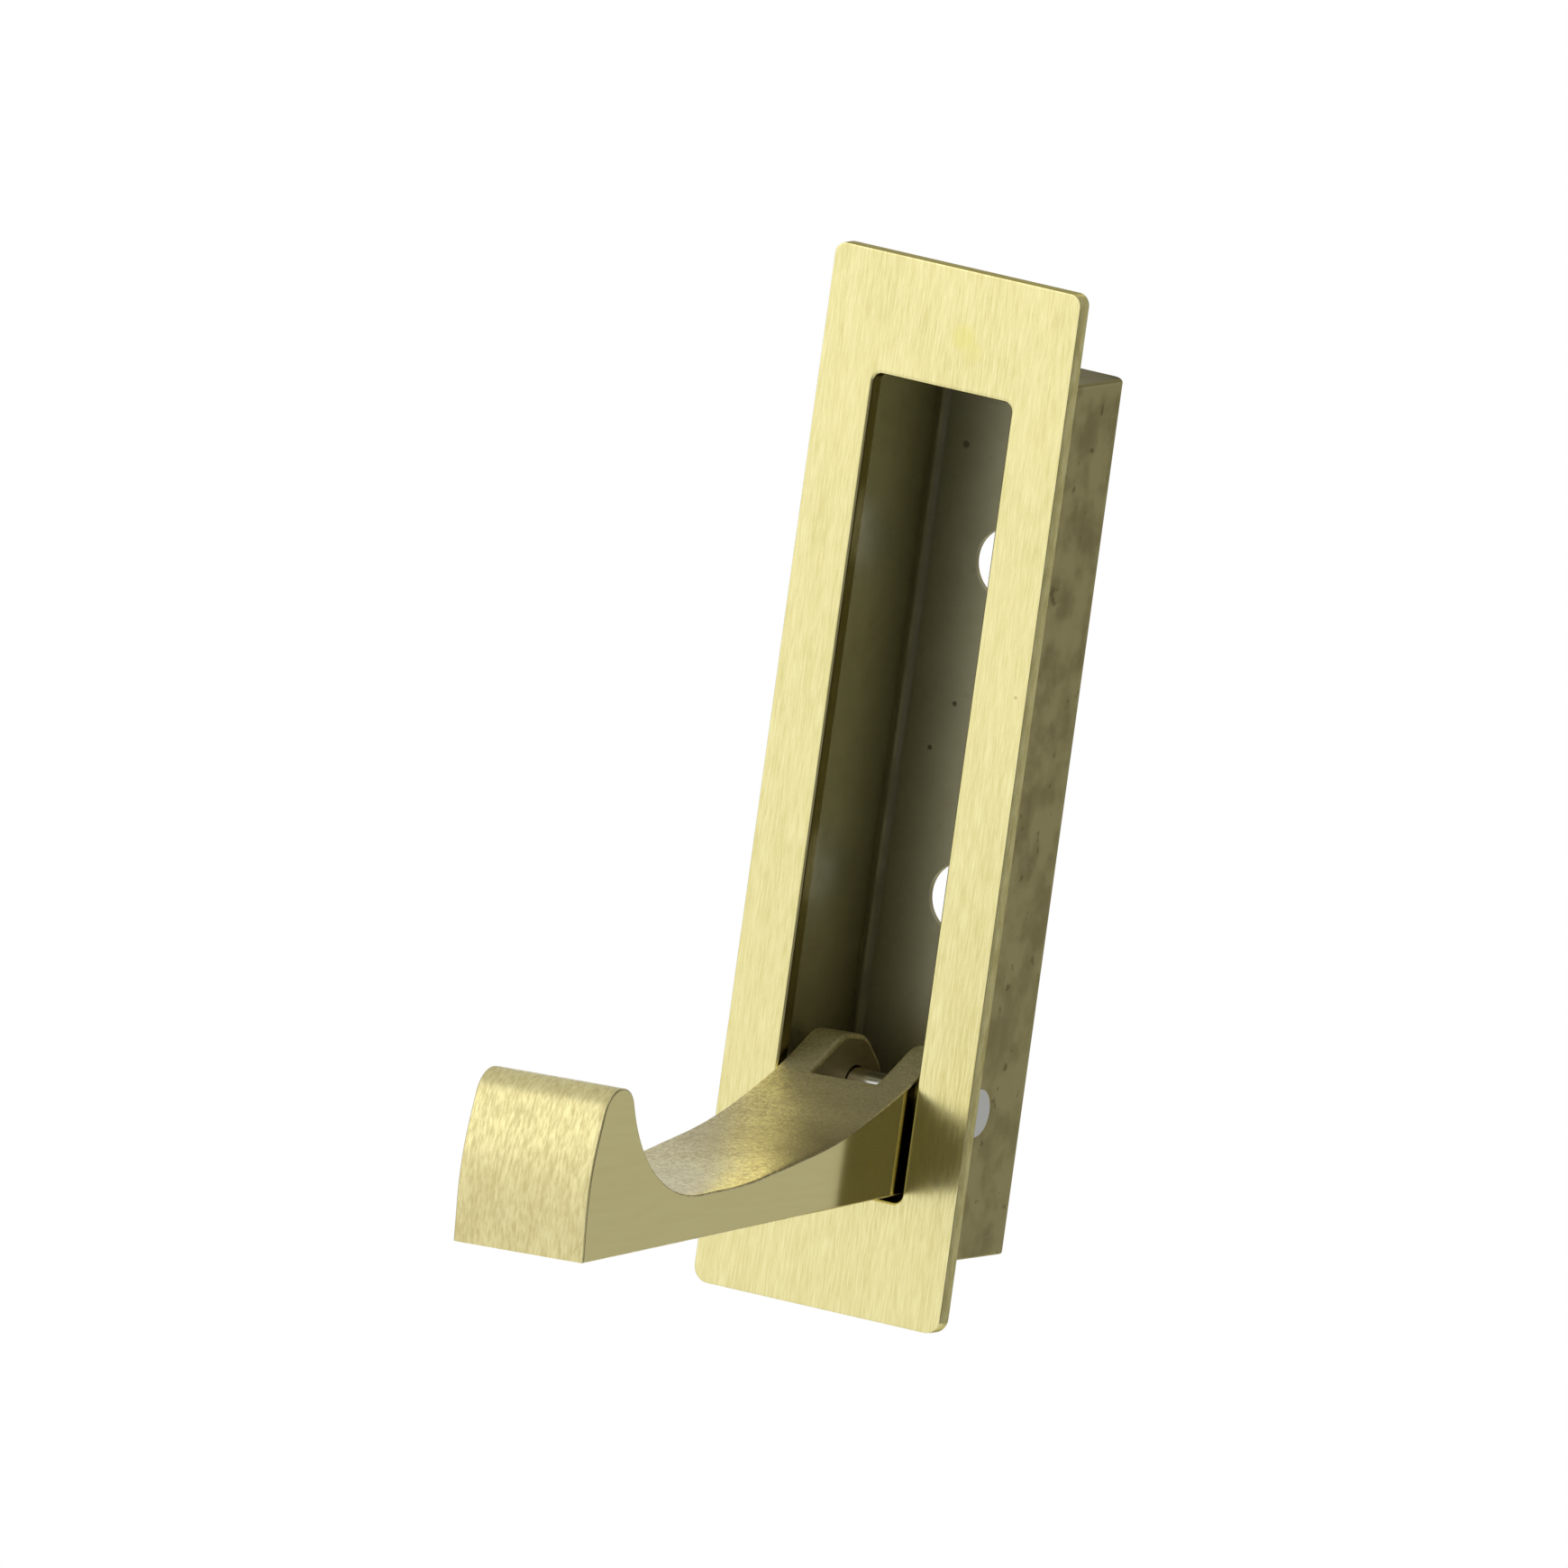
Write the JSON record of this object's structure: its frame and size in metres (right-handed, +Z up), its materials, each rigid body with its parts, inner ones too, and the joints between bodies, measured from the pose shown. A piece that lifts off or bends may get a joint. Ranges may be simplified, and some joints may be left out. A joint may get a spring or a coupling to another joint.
{
  "type": "folding flush door pull",
  "caption": "Recessed door pull: a slim face plate with a sheet-metal cup behind it and a hooked arm that swings out on a cross pin at the foot of the recess.",
  "frame": {"origin": "middle of the two screw holes, on the rear face of the cup's back wall", "axes": "+X across the plate to the right seen from the front, +Y into the door, +Z up"},
  "size_m": [0.0324, 0.0922, 0.12],
  "materials": {
    "plate_brass": "satin, brushed along its length",
    "cup_brass": "dull rolled sheet",
    "arm_brass": "ground sides and front, cast grain on top",
    "pin_steel": "bright drawn"
  },
  "bodies": {
    "housing": {"face_plate": "plate_brass", "recess_cup": "cup_brass", "pivot_pin": "pin_steel"},
    "arm": {"pull_arm": "arm_brass"}
  },
  "joints": [
    {"name": "arm_fold", "type": "hinge", "parent": "housing", "child": "arm", "pos_m": [0, -0.01175, -0.0408], "axis": [-1, 0, 0], "range_deg": [0, 92.25]}
  ]
}
